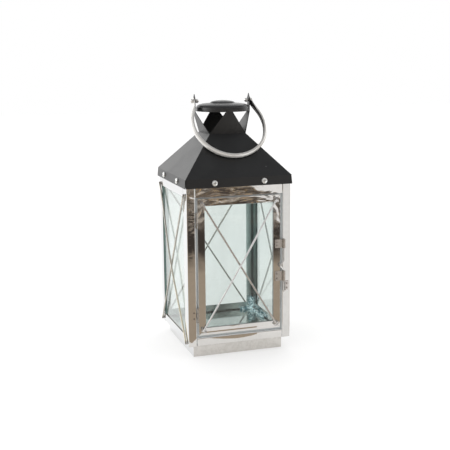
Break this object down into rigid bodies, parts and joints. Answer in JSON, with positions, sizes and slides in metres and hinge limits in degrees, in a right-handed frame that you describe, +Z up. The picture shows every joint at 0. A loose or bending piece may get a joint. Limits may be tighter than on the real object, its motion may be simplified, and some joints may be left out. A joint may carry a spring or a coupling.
{
  "type": "candle lantern",
  "caption": "Square candle lantern: polished steel frame with glazed sides and crossed guard wires, a hinged latching door, a black vented pyramid roof and a bail handle.",
  "frame": {"origin": "centre of the base, where it stands", "axes": "+Z up, the door faces -Y, the door's hinge is at -X and its latch at +X"},
  "size_m": [0.1724, 0.1724, 0.385],
  "materials": {
    "polished_steel": "mirror-polished stainless steel sheet",
    "floor_steel": "mirror-polished stainless steel sheet, lightly scratched",
    "handle_steel": "satin stainless steel",
    "guard_wire": "drawn steel wire, satin",
    "bright_screw": "bright nickel plate",
    "black_enamel": "satin black powder coat",
    "clear_glass": "clear float glass with a slight green tint"
  },
  "bodies": {
    "lantern": {"bottom_rail_back": "polished_steel", "bottom_rail_front": "polished_steel", "bottom_rail_left": "polished_steel", "bottom_rail_right": "polished_steel", "floor_plate": "floor_steel", "glass_back": "clear_glass", "glass_left": "clear_glass", "glass_right": "clear_glass", "glass_stop_back": "polished_steel", "glass_stop_left": "polished_steel", "glass_stop_right": "polished_steel", "hinge_lower_pin": "guard_wire", "hinge_lower_post_leaf": "polished_steel", "hinge_upper_pin": "guard_wire", "hinge_upper_post_leaf": "polished_steel", "latch_keeper": "polished_steel", "pivot_nut_left": "bright_screw", "pivot_nut_right": "bright_screw", "pivot_screw_left": "bright_screw", "pivot_screw_right": "bright_screw", "plinth": "polished_steel", "post_back_left": "polished_steel", "post_back_right": "polished_steel", "post_front_left": "polished_steel", "post_front_right": "polished_steel", "roof_cap": "black_enamel", "roof_hood": "black_enamel", "roof_screw_back_a": "bright_screw", "roof_screw_back_b": "bright_screw", "roof_screw_front_a": "bright_screw", "roof_screw_front_b": "bright_screw", "roof_screw_left_a": "bright_screw", "roof_screw_left_b": "bright_screw", "roof_screw_right_a": "bright_screw", "roof_screw_right_b": "bright_screw", "top_rail_back": "polished_steel", "top_rail_front": "polished_steel", "top_rail_left": "polished_steel", "top_rail_right": "polished_steel", "wire_back_over": "guard_wire", "wire_back_under": "guard_wire", "wire_left_over": "guard_wire", "wire_left_under": "guard_wire", "wire_right_over": "guard_wire", "wire_right_under": "guard_wire"},
    "door": {"door_glass": "clear_glass", "door_rail_bottom": "polished_steel", "door_rail_top": "polished_steel", "door_stile_left": "polished_steel", "door_stile_right": "polished_steel", "hinge_lower_door_leaf": "polished_steel", "hinge_upper_door_leaf": "polished_steel", "latch_guide_lower": "polished_steel", "latch_guide_upper": "polished_steel", "wire_door_over": "guard_wire", "wire_door_under": "guard_wire"},
    "bolt": {"latch_bolt": "guard_wire"},
    "bail": {"handle_bail": "handle_steel"}
  },
  "joints": [
    {"name": "door_hinge", "type": "hinge", "parent": "lantern", "child": "door", "pos_m": [-0.0655, -0.0806, 0.137], "axis": [0, 0, -1], "range_deg": [0, 135]},
    {"name": "bolt_slide", "type": "slide", "parent": "door", "child": "bolt", "axis": [0, 0, 1], "range_m": [0, 0.017]},
    {"name": "bail_hinge", "type": "hinge", "parent": "lantern", "child": "bail", "pos_m": [0, 0, 0.3748], "axis": [-1, 0, 0], "range_deg": [0, 283.5]}
  ]
}
